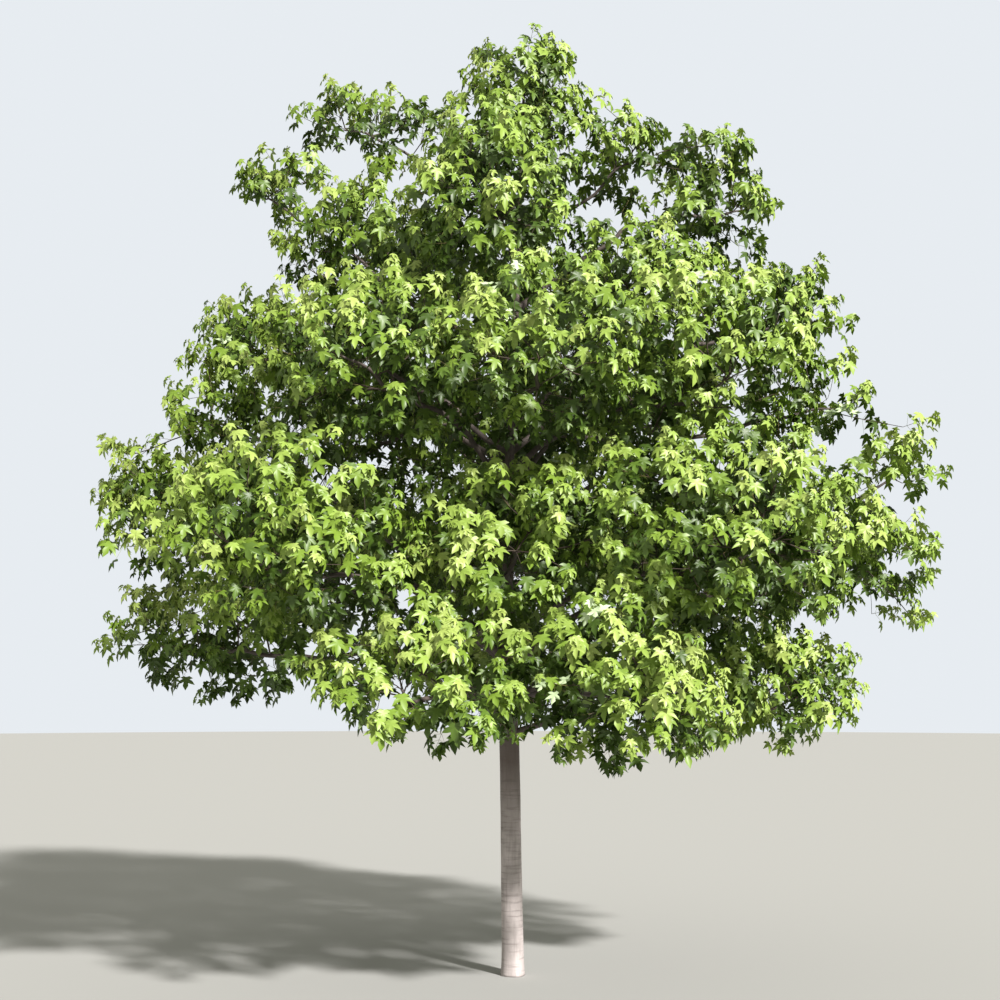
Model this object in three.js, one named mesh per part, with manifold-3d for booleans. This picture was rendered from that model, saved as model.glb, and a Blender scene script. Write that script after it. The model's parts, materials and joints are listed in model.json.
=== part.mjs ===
// A young maple tree in full leaf: one trunk, its main boughs and the masses of foliage they carry.
// Millimetres, +Z up. The origin is the middle of the flat cut under the trunk, at ground level.
import * as THREE from 'three';
import { mergeVertices } from 'three/addons/utils/BufferGeometryUtils.js';
import Module from 'manifold-3d';

const wasm = await Module();
wasm.setup();

// ---- Driving dimensions -------------------------------------------------------------------------

// The trunk's middle line, from the ground to the tip of the leader. It leans a little to the left
// up to the first boughs, then back to the right.
const TRUNK_LINE = [
  [0, 0, 0],
  [-19, 0, 1270],
  [-30, 8, 2000],
  [-25, 20, 3300],
  [30, 10, 4700],
  [80, 0, 6100],
];
const TRUNK_HEIGHT = 6100;
const FIRST_BOUGH = 1640; // height of the lowest bough, where the trunk becomes the leader
const ROOT_RADIUS = 73;
const CROTCH_RADIUS = 65; // just under the first boughs
const LEADER_RADIUS = 47; // above the first boughs
const TIP_RADIUS = 11;
const COLLAR_LENGTH = 320; // the trunk thins from the one to the other over about this height
const FLARE = 9; // how far the root flare stands out at the ground
const FLARE_HEIGHT = 70;
const FLARE_RIBS = 5; // the flare is fluted into this many roots
const FLARE_RIB_DEPTH = 0.35; // of the flare
const FOOT_SLOPE = 5; // its lowest ring would lie within this height of the ground
const TRUNK_SIDES = 12;
const TRUNK_RINGS = 16;

const BOUGH_SIDES = 6;
const BOUGH_RINGS = 4;
const BOUGH_CLIMB = 0.62; // how far a bough climbs for each unit that it reaches outwards
const BOUGH_STAGGER = 85; // boughs that start at one level are set this far apart in height
const BOUGH_TAPER = 0.62; // its thickness at its far end, as a share of the girth
const BOUGH_END = 0.22; // it stops short of the middle of its mass by this share of the mass's length
const BOUGH_BEND = 0.45; // how far along its way it arches most
const BOUGH_ARCH = 0.1; // how high it arches, as a share of its reach

const KNOBS = 9; // rounded clumps that swell out of each mass
const KNOB_HEIGHT = [0.16, 0.46];
const KNOB_SPREAD = [0.32, 0.6]; // radians
const UNDERSIDE = 0.78; // masses are flatter below than above
const DROOP = 0.14; // how far the ends of a mass hang below its middle
const ROUGHNESS = 0.05; // how far single corners stand in or out
const MASS_DETAIL = 3; // each edge of the eight-sided ball is split into this many more

const GAP = 0.6; // clearance between two neighbouring solids
const MASS_GAP = 6; // masses keep this much more air between them

// The masses of foliage, tier by tier. Sizes that a tier gives are shared by its masses, except
// where one has its own.
//   heading: the way a mass points, in degrees: 0 right, 90 back, 180 left, 270 front
//   reach, level: how far out from the origin, and how high, the middle of the mass lies
//   long, wide, tall: its size along its bough, across it and upwards
//   rise: how steeply it climbs outwards, in degrees
//   girth: its bough's radius at the trunk, or 0 where it grows on from the bough of the next mass
const TIERS = [
  {
    tier: 'top',
    shared: { long: 1180, wide: 1050, tall: 1260, rise: 0, girth: 0 },
    masses: [
      { side: 'middle', heading: 0, reach: 50, level: 6010 },
      { side: 'left', heading: 181, reach: 960, level: 5930, long: 1260, wide: 860, tall: 620, rise: 8 },
      { side: 'right', heading: 352, reach: 670, level: 5690, long: 900, wide: 820, tall: 860, rise: 12 },
    ],
  },
  {
    tier: 'high',
    shared: { long: 1300, wide: 1150, tall: 1050, rise: 18, girth: 18 },
    masses: [
      { side: 'right', heading: 2, reach: 1380, level: 5370, long: 900, wide: 900, rise: 8, girth: 21 },
      { side: 'left_tip', heading: 178, reach: 1600, level: 5430, long: 700, wide: 700, tall: 560, girth: 0 },
      { side: 'left', heading: 192, reach: 1050, level: 4910, tall: 920, rise: 10 },
      { side: 'front', heading: 262, reach: 840, level: 5040, tall: 1200 },
      { side: 'front_right', heading: 325, reach: 900, level: 4540, tall: 860, rise: 12, girth: 0 },
      { side: 'back', heading: 70, reach: 820, level: 5060, tall: 1200, girth: 0 },
      { side: 'back_left', heading: 132, reach: 880, level: 4940, girth: 0 },
    ],
  },
  {
    tier: 'upper',
    shared: { long: 1300, wide: 1130, tall: 850, rise: 8, girth: 21 },
    masses: [
      { side: 'right', heading: 10, reach: 1820, level: 4580 },
      { side: 'left', heading: 174, reach: 1660, level: 4340, long: 1420, rise: 4 },
    ],
  },
  {
    tier: 'mid',
    shared: { long: 1700, wide: 1400, tall: 1280, rise: 14, girth: 23 },
    masses: [
      { side: 'right', heading: 350, reach: 1880, level: 3880, long: 1400, wide: 1150, tall: 860 },
      { side: 'left', heading: 186, reach: 1800, level: 3720, long: 1380, wide: 1150, tall: 760, girth: 0 },
      { side: 'front_left', heading: 230, reach: 1340, level: 3980 },
      { side: 'front', heading: 275, reach: 1200, level: 3960, tall: 1180 },
      { side: 'front_right', heading: 317, reach: 1360, level: 3980 },
      { side: 'back_right', heading: 52, reach: 1400, level: 4080 },
      { side: 'back', heading: 97, reach: 1280, level: 3920, tall: 1420 },
      { side: 'back_left', heading: 140, reach: 1360, level: 4030 },
    ],
  },
  {
    tier: 'wide',
    shared: { long: 1920, wide: 1530, tall: 1300, rise: 6, girth: 28 },
    masses: [
      { side: 'right_tip', heading: 5, reach: 2600, level: 3410, long: 820, wide: 800, tall: 660, girth: 0 },
      { side: 'left', heading: 181, reach: 1960, level: 3130, wide: 1350, tall: 1050 },
      { side: 'right', heading: 356, reach: 1970, level: 2760, wide: 1400, tall: 1100 },
      { side: 'front_left', heading: 223, reach: 1780, level: 2860 },
      { side: 'front', heading: 268, reach: 980, level: 2780, long: 1400, wide: 1500, tall: 1150 },
      { side: 'front_right', heading: 313, reach: 1760, level: 2830 },
      { side: 'back_right', heading: 43, reach: 1740, level: 2960, tall: 1400 },
      { side: 'back', heading: 90, reach: 1700, level: 3020, wide: 1700, tall: 1480 },
      { side: 'back_left', heading: 137, reach: 1720, level: 2940, tall: 1400 },
    ],
  },
  {
    tier: 'low',
    shared: { long: 1550, wide: 1350, tall: 920, rise: 0, girth: 24 },
    masses: [
      { side: 'left', heading: 184, reach: 1960, level: 2280, long: 1660, rise: 4 },
      { side: 'right', heading: 352, reach: 1600, level: 1930 },
      { side: 'front_left', heading: 246, reach: 1470, level: 2050, wide: 1500, tall: 1040 },
      { side: 'front_right', heading: 293, reach: 1420, level: 1980, wide: 1450, tall: 1060 },
      { side: 'back', heading: 85, reach: 1430, level: 1990, wide: 1800 },
    ],
  },
];
const CROWN = TIERS.flatMap(({ tier, shared, masses }) =>
  masses.map((mass) => ({ ...shared, ...mass, name: `${tier}_${mass.side}` })),
);

// ---- Materials ----------------------------------------------------------------------------------

const bark = () => new THREE.MeshStandardMaterial({ color: 0x8d8478, roughness: 0.9, metalness: 0 });
const leaves = () => new THREE.MeshStandardMaterial({ color: 0x5c8a2b, roughness: 0.75, metalness: 0 });

// ---- Solids -------------------------------------------------------------------------------------

/** Repeatable random numbers from 0 to 1, the same for the same seed. */
function seeded(seed) {
  let state = seed * 2654435761;
  return () => {
    state = (state + 0x6d2b79f5) | 0;
    let mixed = Math.imul(state ^ (state >>> 15), 1 | state);
    mixed = (mixed + Math.imul(mixed ^ (mixed >>> 7), 61 | mixed)) ^ mixed;
    return ((mixed ^ (mixed >>> 14)) >>> 0) / 4294967296;
  };
}

/** A random number between the two ends of a range. */
const within = (random, [low, high]) => low + (high - low) * random();

/** The geometry with its shared vertices merged, and nothing but positions. */
function welded(geometry) {
  geometry.deleteAttribute('normal');
  geometry.deleteAttribute('uv');
  return mergeVertices(geometry, 1e-4);
}

/** A manifold solid of a closed, welded geometry. */
function solidOf(geometry) {
  const vertProperties = new Float32Array(geometry.attributes.position.array);
  const triVerts = new Uint32Array(geometry.index.array);
  return new wasm.Manifold(new wasm.Mesh({ numProp: 3, vertProperties, triVerts }));
}

/** The separate bodies of a solid, each as a list of its triangles' corner points. */
function bodiesOf(solid) {
  const { vertProperties, triVerts } = solid.getMesh();
  const root = Array.from({ length: vertProperties.length / 3 }, (_, i) => i);
  const find = (i) => {
    while (root[i] !== i) {
      root[i] = root[root[i]];
      i = root[i];
    }
    return i;
  };
  for (let i = 0; i < triVerts.length; i += 3) {
    root[find(triVerts[i])] = find(triVerts[i + 1]);
    root[find(triVerts[i + 1])] = find(triVerts[i + 2]);
  }
  const bodies = new Map();
  triVerts.forEach((corner) => {
    const body = find(corner);
    if (!bodies.has(body)) {
      bodies.set(body, []);
    }
    bodies.get(body).push(...vertProperties.subarray(3 * corner, 3 * corner + 3));
  });
  return [...bodies.values()];
}

/** The geometry of the body of a solid that scores highest. */
function bestBody(solid, score) {
  const [best] = bodiesOf(solid).sort((one, other) => score(other) - score(one));
  const geometry = new THREE.BufferGeometry();
  geometry.setAttribute('position', new THREE.Float32BufferAttribute(best, 3));
  return welded(geometry);
}

/** The solid with each of the cutters taken off it. */
const cutRound = (solid, cutters) => cutters.reduce((left, cutter) => left.subtract(cutter), solid);

/**
 * A limb: a lathed profile bent along a curve. Its rings lie at shareAt(ring) of the curve's length,
 * radiusAt(share) gives its radius there, and swell(share, angle) how much that is multiplied by
 * round the limb. across is any direction that the limb never runs along.
 */
function limb({ curve, rings, sides, across, radiusAt, shareAt = (ring) => ring / rings, swell = () => 1 }) {
  const profile = [new THREE.Vector2(0, 0)];
  for (let ring = 0; ring <= rings; ring += 1) {
    profile.push(new THREE.Vector2(1, ring));
  }
  profile.push(new THREE.Vector2(0, rings));
  const geometry = welded(new THREE.LatheGeometry(profile, sides));
  const position = geometry.attributes.position;
  for (let i = 0; i < position.count; i += 1) {
    const share = shareAt(Math.round(position.getY(i)));
    const angle = Math.atan2(position.getZ(i), position.getX(i));
    const radius = Math.hypot(position.getX(i), position.getZ(i)) * radiusAt(share) * swell(share, angle);
    const along = curve.getTangentAt(share);
    const side = new THREE.Vector3().crossVectors(along, across).normalize();
    const up = new THREE.Vector3().crossVectors(side, along);
    const point = curve.getPointAt(share);
    point.addScaledVector(side, radius * Math.cos(angle));
    point.addScaledVector(up, radius * Math.sin(angle));
    position.setXYZ(i, point.x, point.y, point.z);
  }
  return geometry;
}

// ---- Trunk --------------------------------------------------------------------------------------

const trunkCurve = new THREE.CatmullRomCurve3(TRUNK_LINE.map((point) => new THREE.Vector3(...point)));

/** The point on the trunk's middle line at a height, found by halving the curve again and again. */
function trunkAt(height) {
  let share = 0;
  for (let step = 0.5; step > 1e-6; step /= 2) {
    if (trunkCurve.getPoint(share + step).z < height) {
      share += step;
    }
  }
  return trunkCurve.getPoint(share);
}

/** The trunk's radius at a height, without the root flare. */
function trunkRadius(height) {
  if (height < FIRST_BOUGH) {
    return THREE.MathUtils.lerp(ROOT_RADIUS, CROTCH_RADIUS, height / FIRST_BOUGH);
  }
  const above = height - FIRST_BOUGH;
  const leader = THREE.MathUtils.lerp(LEADER_RADIUS, TIP_RADIUS, above / (TRUNK_HEIGHT - FIRST_BOUGH));
  const collar = (CROTCH_RADIUS - LEADER_RADIUS) * Math.exp(-above / COLLAR_LENGTH);
  return leader + collar;
}

/** The trunk from the flat cut at the ground to the leader's tip, grown outwards by some clearance. */
function trunkGeometry(clearance = 0) {
  const heightAt = (share) => trunkCurve.getPointAt(share).z;
  const radiusAt = (share) => trunkRadius(heightAt(share)) + clearance;
  const swell = (share, angle) => {
    const foot = Math.exp(-heightAt(share) / FLARE_HEIGHT);
    return 1 + (FLARE / ROOT_RADIUS) * foot * (1 + FLARE_RIB_DEPTH * Math.cos(FLARE_RIBS * angle));
  };
  const geometry = limb({
    curve: trunkCurve,
    rings: TRUNK_RINGS,
    sides: TRUNK_SIDES,
    across: new THREE.Vector3(0, 1, 0),
    radiusAt,
    shareAt: (ring) => (ring / TRUNK_RINGS) ** 2, // closest together at the root flare
    swell,
  });
  const position = geometry.attributes.position;
  for (let i = 0; i < position.count; i += 1) {
    if (position.getZ(i) < FOOT_SLOPE) {
      position.setZ(i, -clearance); // the trunk leans, but the cut under it is level
    }
  }
  return geometry;
}

// ---- Foliage ------------------------------------------------------------------------------------

/** Where the middle of a mass is, and which way it points. */
function placeOf({ heading, reach, level, rise }) {
  const turn = THREE.MathUtils.degToRad(heading);
  const climb = THREE.MathUtils.degToRad(rise);
  const middle = new THREE.Vector3(reach * Math.cos(turn), reach * Math.sin(turn), level);
  const outward = new THREE.Vector3(
    Math.cos(turn) * Math.cos(climb),
    Math.sin(turn) * Math.cos(climb),
    Math.sin(climb),
  );
  return { middle, outward, turn, climb };
}

/** A mass of foliage: a ball with knobs, flat below and drooping at its ends, grown by a clearance. */
function foliageGeometry(mass, seed, clearance = 0) {
  const random = seeded(seed);
  const knobs = Array.from({ length: KNOBS }, () => {
    const height = 2 * random() - 1;
    const angle = 2 * Math.PI * random();
    const flat = Math.sqrt(1 - height * height);
    const toward = new THREE.Vector3(flat * Math.cos(angle), flat * Math.sin(angle), height);
    return { toward, height: within(random, KNOB_HEIGHT), spread: within(random, KNOB_SPREAD) };
  });
  const geometry = welded(new THREE.OctahedronGeometry(1, MASS_DETAIL));
  const position = geometry.attributes.position;
  const point = new THREE.Vector3();
  for (let i = 0; i < position.count; i += 1) {
    point.fromBufferAttribute(position, i).normalize();
    const swell = knobs.reduce(
      (sum, { toward, height, spread }) => sum + height * Math.exp(-((toward.angleTo(point) / spread) ** 2)),
      1,
    );
    point.multiplyScalar(swell + within(random, [-ROUGHNESS, ROUGHNESS]));
    point.z = point.z * (point.z < 0 ? UNDERSIDE : 1) - DROOP * point.x * point.x;
    position.setXYZ(i, point.x, point.y, point.z);
  }
  geometry.computeBoundingBox();
  const size = geometry.boundingBox.getSize(new THREE.Vector3());
  geometry.center();
  geometry.scale(mass.long / size.x, mass.wide / size.y, mass.tall / size.z);
  for (let i = 0; i < position.count; i += 1) {
    point.fromBufferAttribute(position, i);
    point.addScaledVector(point.clone().normalize(), clearance);
    position.setXYZ(i, point.x, point.y, point.z);
  }
  const { middle, turn, climb } = placeOf(mass);
  geometry.rotateY(-climb);
  geometry.rotateZ(turn);
  geometry.translate(middle.x, middle.y, middle.z);
  return geometry;
}

// ---- Boughs -------------------------------------------------------------------------------------

/** The line of a bough, from inside the trunk, up and outwards, to well inside its mass. */
function boughCurve(mass, order) {
  const { middle, outward } = placeOf(mass);
  const end = middle.clone().addScaledVector(outward, -BOUGH_END * mass.long);
  const away = Math.hypot(end.x, end.y);
  const start = Math.max(end.z - BOUGH_CLIMB * away, FIRST_BOUGH) + BOUGH_STAGGER * ((order % 3) - 1);
  const foot = trunkAt(start);
  const bend = foot.clone().lerp(end, BOUGH_BEND);
  bend.z += BOUGH_ARCH * away;
  return new THREE.QuadraticBezierCurve3(foot, bend, end);
}

/** A tapering bough, grown outwards by some clearance. */
function boughGeometry(mass, order, clearance = 0) {
  const curve = boughCurve(mass, order);
  const radiusAt = (share) => mass.girth * (1 - (1 - BOUGH_TAPER) * share) + clearance;
  return limb({ curve, rings: BOUGH_RINGS, sides: BOUGH_SIDES, across: new THREE.Vector3(0, 0, 1), radiusAt });
}

// ---- The tree -----------------------------------------------------------------------------------

const group = new THREE.Group();

/** Adds a named mesh to the tree. */
function add(name, geometry, material) {
  geometry.computeVertexNormals();
  const mesh = new THREE.Mesh(geometry, material);
  mesh.name = name;
  group.add(mesh);
}

/** How much room a list of corner points takes up. */
function roomOf(points) {
  const box = new THREE.Box3().setFromArray(points);
  const size = box.getSize(new THREE.Vector3());
  return size.x * size.y * size.z;
}

add('trunk', trunkGeometry(), bark());
const trunkCutter = solidOf(trunkGeometry(GAP));

const massCutters = [];
CROWN.forEach((mass, order) => {
  const whole = solidOf(foliageGeometry(mass, order + 1));
  const cut = cutRound(whole, [trunkCutter, ...massCutters]);
  add(`foliage_${mass.name}`, bestBody(cut, roomOf), leaves());
  massCutters.push(solidOf(foliageGeometry(mass, order + 1, MASS_GAP)));
});

const boughCutters = [];
CROWN.filter(({ girth }) => girth > 0).forEach((mass, order) => {
  const whole = solidOf(boughGeometry(mass, order));
  const cut = cutRound(whole, [trunkCutter, ...massCutters, ...boughCutters]);
  const foot = boughCurve(mass, order).getPoint(0);
  const nearness = (points) => {
    const box = new THREE.Box3().setFromArray(points);
    return -box.distanceToPoint(foot);
  };
  add(`bough_${mass.name}`, bestBody(cut, nearness), bark());
  boughCutters.push(solidOf(boughGeometry(mass, order, GAP)));
});

export default group;
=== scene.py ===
"""Grows the maple tree's bark, branches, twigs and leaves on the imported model's limbs and masses."""
import json
import math

import bpy
import numpy as np
from bpy.props import FloatProperty, FloatVectorProperty, IntProperty, PointerProperty
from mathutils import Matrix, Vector
from mathutils.bvhtree import BVHTree

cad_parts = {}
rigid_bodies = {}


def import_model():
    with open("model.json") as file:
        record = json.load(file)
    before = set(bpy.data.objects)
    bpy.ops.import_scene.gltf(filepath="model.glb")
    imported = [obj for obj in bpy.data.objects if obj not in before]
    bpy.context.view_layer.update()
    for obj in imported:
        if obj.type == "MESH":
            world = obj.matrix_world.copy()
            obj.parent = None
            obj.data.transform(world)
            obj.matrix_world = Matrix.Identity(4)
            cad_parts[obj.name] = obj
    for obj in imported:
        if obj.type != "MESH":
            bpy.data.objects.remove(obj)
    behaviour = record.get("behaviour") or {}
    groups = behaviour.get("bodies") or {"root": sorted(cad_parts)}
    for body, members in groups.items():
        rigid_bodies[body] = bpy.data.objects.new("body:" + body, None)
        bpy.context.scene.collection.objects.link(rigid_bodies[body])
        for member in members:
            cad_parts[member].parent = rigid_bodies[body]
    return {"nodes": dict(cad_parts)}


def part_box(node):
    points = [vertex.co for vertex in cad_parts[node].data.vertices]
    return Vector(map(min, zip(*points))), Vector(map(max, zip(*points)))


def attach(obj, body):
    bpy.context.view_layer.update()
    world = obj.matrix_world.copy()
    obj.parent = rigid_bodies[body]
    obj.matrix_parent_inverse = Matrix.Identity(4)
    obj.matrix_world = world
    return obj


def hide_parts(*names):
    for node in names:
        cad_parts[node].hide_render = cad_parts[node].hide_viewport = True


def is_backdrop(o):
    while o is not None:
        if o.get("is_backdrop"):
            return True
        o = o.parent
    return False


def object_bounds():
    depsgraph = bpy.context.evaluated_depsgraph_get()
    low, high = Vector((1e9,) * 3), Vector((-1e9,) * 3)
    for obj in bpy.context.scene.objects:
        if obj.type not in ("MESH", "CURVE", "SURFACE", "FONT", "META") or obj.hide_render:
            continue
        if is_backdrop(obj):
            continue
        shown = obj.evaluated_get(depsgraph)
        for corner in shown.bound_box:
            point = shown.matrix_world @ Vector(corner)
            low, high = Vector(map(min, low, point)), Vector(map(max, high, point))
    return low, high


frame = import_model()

bl_info = {
    "name": "Maple Tree",
    "version": (1, 0, 0),
    "blender": (4, 5, 0),
    "location": "3D View > Sidebar > Maple Tree",
    "description": "Makes a maple tree's bark, branches, twigs and leaves, and a plain stage",
    "category": "Object",
}

CAD_LOW, CAD_HIGH = (np.array(corner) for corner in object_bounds())
NODES = frame["nodes"]
TRUNK_NODE = "trunk"
BOUGH_NODES = sorted(name for name in NODES if name.startswith("bough_"))
MASS_NODES = sorted(name for name in NODES if name.startswith("foliage_"))

UP = np.array((0.0, 0.0, 1.0))
FULL_TURN = 2 * math.pi

# The clear stem below the first fork, and how far from the trunk's middle a bough first branches.
FIRST_FORK = 1.72
BOUGH_BARE = 0.22
# A bough's node is cut across at this many places to read its course. The first and last lie these
# shares of its reach in from its ends.
BOUGH_CUTS = 5
BOUGH_CUT_FROM = 0.22
BOUGH_CUT_TO = 0.12
# The distance between a limb's points, how far boughs and side limbs sway off their course, the
# radii that a bough and the leader end in, and a side limb's radii from the trunk outwards.
LIMB_STEP = 0.05
BOUGH_SWAY = 0.023
SIDE_SWAY = 0.02
BOUGH_TIP = 0.006
LEADER_TIP = 0.004
SIDE_RADII = (0.015, 0.012, 0.009, 0.005)
# How far the leader's line stops under the tree's top.
LEADER_ROOM = 0.24
# How quickly a limb's bends follow each other along each axis, in radians a metre, and how far from
# its root they near their full size.
SWAY_PITCHES = (5.1, 4.3, 5.9)
SWAY_CALM = 0.45

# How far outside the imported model's box leaves may reach: a share of each side, and metres. None
# hangs lower than the last.
BOX_MARGIN = 0.02
BOX_SLACK = 0.006
LOWEST_LEAF = 0.05

# One half of a leaf's outline, from the base of the blade round to its tip, as shares of the
# blade's length: across, along and how far the point stands above the blade's plane.
LEAF_HALF = (
    (0.20, -0.045, -0.01),
    (0.43, 0.085, -0.075),
    (0.235, 0.205, 0.028),
    (0.405, 0.30, 0.012),
    (0.60, 0.60, -0.105),
    (0.335, 0.525, 0.018),
    (0.145, 0.455, 0.035),
    (0.19, 0.70, 0.0),
)
LEAF_BASE = (0.0, 0.03, 0.0)
LEAF_TIP = (0.0, 1.0, -0.13)
LEAF_HUB = (0.0, 0.24, 0.0)
LEAF_SHAPES = 8
# The leaves' tints, and the shares of the leaves that end each one; the first five run from painted shade
# to painted light, mixed with the leaves' age and chance, and the last is dealt out apart.
TINTS = ("deep", "shaded", "middle", "light", "fresh", "pale")
TINT_SHARES = (0.23, 0.44, 0.70, 0.90)

# Parts of a mass that bear no shoots, as low and high shares of its box: the dip between the two
# points of the crest, the sky beside the top at the right, and notches between the side masses.
OPENINGS = (
    ("foliage_top_middle", (0.36, 0.0, 0.66), (0.55, 1.0, 1.0)),
    ("foliage_top_right", (0.55, 0.0, 0.0), (1.0, 1.0, 0.36)),
    ("foliage_top_right", (0.60, 0.0, 0.76), (1.0, 1.0, 1.0)),
    ("foliage_high_back", (0.46, 0.0, 0.50), (1.0, 1.0, 1.0)),
    ("foliage_high_front", (0.80, 0.0, 0.20), (1.0, 1.0, 0.52)),
    ("foliage_high_front_right", (0.25, 0.0, 0.86), (0.62, 1.0, 1.0)),
    ("foliage_high_left_tip", (0.0, 0.0, 0.0), (0.65, 1.0, 0.36)),
    ("foliage_high_left_tip", (0.0, 0.0, 0.80), (0.5, 1.0, 1.0)),
    ("foliage_upper_left", (0.0, 0.0, 0.0), (0.32, 1.0, 0.32)),
)
# The leafy spurs on the bare lengths of the limbs: how far along a limb they start, the distance
# from one to the next, how far they stand off it, and the room that each one needs.
SPUR_START = 0.42
SPUR_GAP = 0.14
SPUR_REACH = (0.08, 0.17)
SPUR_ROOM = 0.118
# Shoots keep this far above a mass's underside, as their leaves hang.
HANG_ROOM = 0.11

# Where the crown's furthest tips lie, as shares of a mass's box, and the shoot roots behind each
# tip: how far back towards the mass's middle, and how far to each side.
TIP_SPRAYS = (
    ("foliage_top_middle", (0.25, 0.5, 0.93)),
    ("foliage_top_middle", (0.69, 0.5, 0.99)),
    ("foliage_top_middle", (0.79, 0.5, 0.93)),
    ("foliage_top_left", (0.15, 0.5, 1.03)),
    ("foliage_top_right", (0.96, 0.5, 0.68)),
    ("foliage_high_left", (0.42, 0.5, 1.08)),
    ("foliage_high_left", (0.64, 0.5, 1.22)),
    ("foliage_high_left", (0.80, 0.5, 1.32)),
    ("foliage_high_left_tip", (0.03, 0.5, 0.55)),
    ("foliage_high_right", (0.79, 0.5, 1.0)),
    ("foliage_upper_right", (0.92, 0.5, 1.0)),
    ("foliage_wide_left", (0.02, 0.5, 0.95)),
    ("foliage_wide_left", (0.0, 0.5, 0.50)),
    ("foliage_wide_right", (0.94, 0.5, 0.05)),
    ("foliage_wide_right_tip", (0.9, 0.5, 0.97)),
)
TIP_STEPS = (
    (0.17, (0.0, 0.0, 0.0)),
    (0.25, (0.06, 0.05, 0.02)),
    (0.28, (-0.06, -0.05, -0.02)),
    (0.37, (0.05, -0.10, 0.05)),
    (0.40, (-0.06, 0.10, -0.05)),
)
# How deep these shoots and the spurs count as lying, and their place in a tuft and its tint, which also
# set the painted light and shade in their leaves' tints.
TIP_DEPTH = 0.09
TIP_TUFT = (0.0, 0.0, 0.3, 0.0)
SPUR_DEPTH = 0.2
SPUR_TUFT = (0.0, 0.0, -0.2, -0.1)

# A bough heads for a place this share of its mass's height below the mass's middle.
HEART_DROP = 0.16
# How far under a mass's skin its tufts are centred, how much flatter than wide they are, how far
# the tufts differ in tint, and how far towards the trunk they are found.
TUFT_DEPTH = (0.10, 0.30)
TUFT_FLATNESS = np.array((1.0, 1.0, 1.5))
TUFT_MOOD = 0.13
TUFT_INWARD = -0.45
# Where tufts thin out into loose shoots, and over how much more of the way, as shares of the
# distance from one tuft to the next.
TUFT_EDGE = 0.42
TUFT_FADE = 0.22
# How high in the tree, as shares of its height, the crest starts and the skirt ends, and over how
# much of the height each one's closer shoots come in.
CREST_FROM = 0.6
CREST_FADE = 0.25
SKIRT_TO = 0.46
SKIRT_FADE = 0.1
# A mass's skin is its underside where it faces down by more than this.
UNDERSIDE = -0.35
# Places tried for each cubic metre of a mass's box, for tufts and for shoots, the most shoots in
# all, and how deep under the skin a shoot's root lies at least.
TUFT_TRIES = 500
SHOOT_TRIES = 2600
MOST_SHOOTS = 8000
SKIN_DEPTH = 0.05

# How often a branch's kinks are eased, and how far each time. How far a branch runs on along its
# parent before it turns away, and then towards its own end, as shares of its first step.
EASINGS = 2
EASING = 0.45
FORK_ALONG = 0.22
FORK_AWAY = 0.2
# How far apart a branch's rings lie, and the sides of one of at least each radius.
BRANCH_STEP = 0.085
BRANCH_SIDES = ((0.007, 6), (0.003, 4), (0.0, 3))

# What a shoot's heading follows: its branch, the way out of the mass, the way from the trunk, the
# way out of its tuft, and chance.
FOLLOW_BRANCH = 0.4
FOLLOW_SKIN = 0.45
FOLLOW_TRUNK = 0.4
FOLLOW_TUFT = 1.1
FOLLOW_CHANCE = 0.25
# How far a shoot turns upwards, at least and at most more, and how far it bends up and sways.
SHOOT_LIFT = (0.30, 0.25)
SHOOT_BEND = 0.22
SHOOT_SWAY = 0.12
# The shortest and longest shoot, how much longer deep ones are, and where its points lie along it.
SHOOT_LENGTHS = (0.13, 0.30)
SHOOT_DEEPER = 0.8
SHOOT_OUTER = 0.07
SHOOT_SHARES = np.array((0.0, 0.34, 0.68, 1.0))[:, None]
SHOOT_RADII = (0.0018, 0.0009)
# What paints a shoot's leaves lighter, a painted light and shade: lying near the skin, which fades
# out at a depth, facing away from the trunk, facing up, standing high in the tuft, and, downwards,
# standing high in the tree.
LIT_DEPTH = 0.35
LIT_SKIN = 0.5
LIT_SIDE = 0.3
LIT_ABOVE = 0.12
LIT_TUFT = 0.85
LIT_HEIGHT = 0.42

# The share of a shoot that bears leaves, and where its first pair stands.
LEAFY_SHARE = 0.86
FIRST_PAIR = 0.14
# How much shoots differ in vigour and leaves in size and stalk, the least and the most.
VIGOUR = (0.86, 1.14)
LEAF_SIZES = (0.86, 1.1)
STALK_SIZES = (0.8, 1.2)
# The size of a shoot's youngest leaves, the pairs over which they reach full size, and the size of
# the one at its tip.
YOUNGEST = 0.62
GROWING_PAIRS = 2.0
TIP_LEAF = 0.9
# The length of the youngest stalks, and how much longer the oldest are.
STALK_YOUNG = 0.45
STALK_OLDER = 0.75
# How much lighter a shoot's youngest leaves are, and how far shoots and leaves differ in tint.
YOUNG_LIGHT = 0.42
SHOOT_TINTS = 0.11
LEAF_TINTS = 0.07
# How far stalks and blades turn by chance.
LEAF_CHANCE = 0.16
# How many leaves are missing, and how many shoots and leaves on them show their pale undersides.
MISSING = 0.05
PALE_SHOOTS = 0.012
PALE_LEAVES = 0.4
# How far the blades hang down from level, in degrees: middle, spread, least and most; and how far
# they roll.
DROOP = (62, 17, 15, 98)
ROLL = 20
# How far a stalk sags, as a share of its length, and its radius at the shoot and at the blade.
STALK_SAG = 0.10
STALK_RADII = (0.0011, 0.0008)

# The trunk's fine rows of faces run up to this height, and coarser ones on to the tip.
STEM_TOP = 2.3
UPPER_STEP = 0.045
TRUNK_SEED = 5
BOUGH_SEED = 6
# How far the root flare's ribs stand out, and over what height they die away.
RIB_RELIEF = 0.0028
RIB_HEIGHT = 0.06
SIDE_LIMB_SIDES = 8
# How much a bough swells into its collar, and how far along it.
COLLAR_SWELL = 0.55
COLLAR_LENGTH = 0.13


def length_setting(name, description, default):
    """A setting in metres."""
    return FloatProperty(
        name=name, description=description, default=default, subtype="DISTANCE", unit="LENGTH"
    )


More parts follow.
